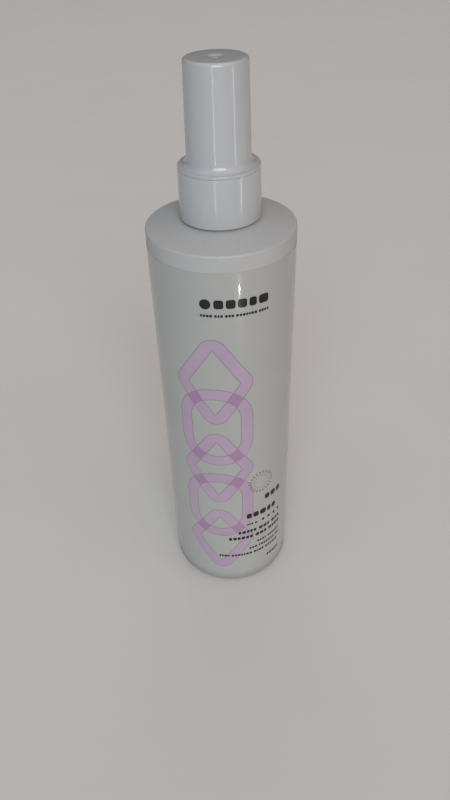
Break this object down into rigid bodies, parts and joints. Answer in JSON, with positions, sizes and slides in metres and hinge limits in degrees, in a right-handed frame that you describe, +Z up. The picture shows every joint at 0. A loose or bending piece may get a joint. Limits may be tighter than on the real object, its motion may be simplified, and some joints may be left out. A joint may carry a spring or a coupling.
{
  "type": "pump spray bottle",
  "caption": "Cylindrical finger-pump mist spray bottle with wrap label, screw collar, lift-off overcap and a complete pre-compression pump with dip tube.",
  "frame": {"origin": "centre of the bottle's standing ring, on the surface it stands on", "axes": "+Z up along the bottle's axis, the nozzle sprays along -Y, +X to the right as seen from the front"},
  "size_m": [0.0524, 0.0524, 0.2178],
  "materials": {
    "bottle_satin": "satin blow-moulded HDPE, light warm grey, fine grain",
    "label_film": "printed glossy film, grey with a pink interlaced pattern",
    "cap_gloss": "glossy moulded polypropylene, light cool grey",
    "natural_pp": "uncoloured moulded polypropylene",
    "soft_pe": "soft uncoloured polyethylene",
    "steel": "bright stainless steel",
    "tube_pe": "extruded translucent polyethylene tube"
  },
  "bodies": {
    "bottle": {"bottle": "bottle_satin", "wrap_label": "label_film"},
    "pump": {"pump_housing": "natural_pp", "stem_guide": "natural_pp", "neck_gasket": "soft_pe", "dip_tube": "tube_pe", "return_spring": "steel"},
    "collar": {"screw_collar": "cap_gloss"},
    "overcap": {"overcap": "cap_gloss"},
    "stem": {"pump_stem": "natural_pp", "stem_foot": "natural_pp", "valve_spring": "steel"},
    "piston": {"piston": "soft_pe"},
    "actuator": {"actuator": "cap_gloss", "nozzle_insert": "natural_pp"},
    "inlet_ball": {"inlet_ball": "steel"}
  },
  "joints": [
    {"name": "thread_rise", "type": "slide", "parent": "bottle", "child": "pump", "axis": [0, 0, 1], "range_m": [0, 0.00476]},
    {"name": "collar_turn", "type": "hinge", "parent": "pump", "child": "collar", "pos_m": [0, 0, 0.178], "axis": [0, 0, 1], "range_deg": [0, 540]},
    {"name": "overcap_lift", "type": "slide", "parent": "collar", "child": "overcap", "axis": [0, 0, 1], "range_m": [0, 0.04]},
    {"name": "stem_press", "type": "slide", "parent": "pump", "child": "stem", "axis": [0, 0, -1], "range_m": [0, 0.0055], "stiffness_N_per_m": 1500, "springref_m": -0.004, "deforming": ["return_spring"]},
    {"name": "piston_lag", "type": "slide", "parent": "stem", "child": "piston", "axis": [0, 0, 1], "range_m": [0, 0.0011], "deforming": ["valve_spring"]},
    {"name": "actuator_turn", "type": "hinge", "parent": "stem", "child": "actuator", "pos_m": [0, 0, 0.2], "axis": [0, 0, 1], "continuous": true},
    {"name": "ball_lift", "type": "slide", "parent": "pump", "child": "inlet_ball", "axis": [0, 0, 1], "range_m": [0, 0.0006]}
  ],
  "couplings": [
    {"joint": "collar_turn", "follows": "thread_rise", "rad_per_m": 1979},
    {"joint": "piston_lag", "follows": "stem_press", "ratio": 0.2}
  ]
}
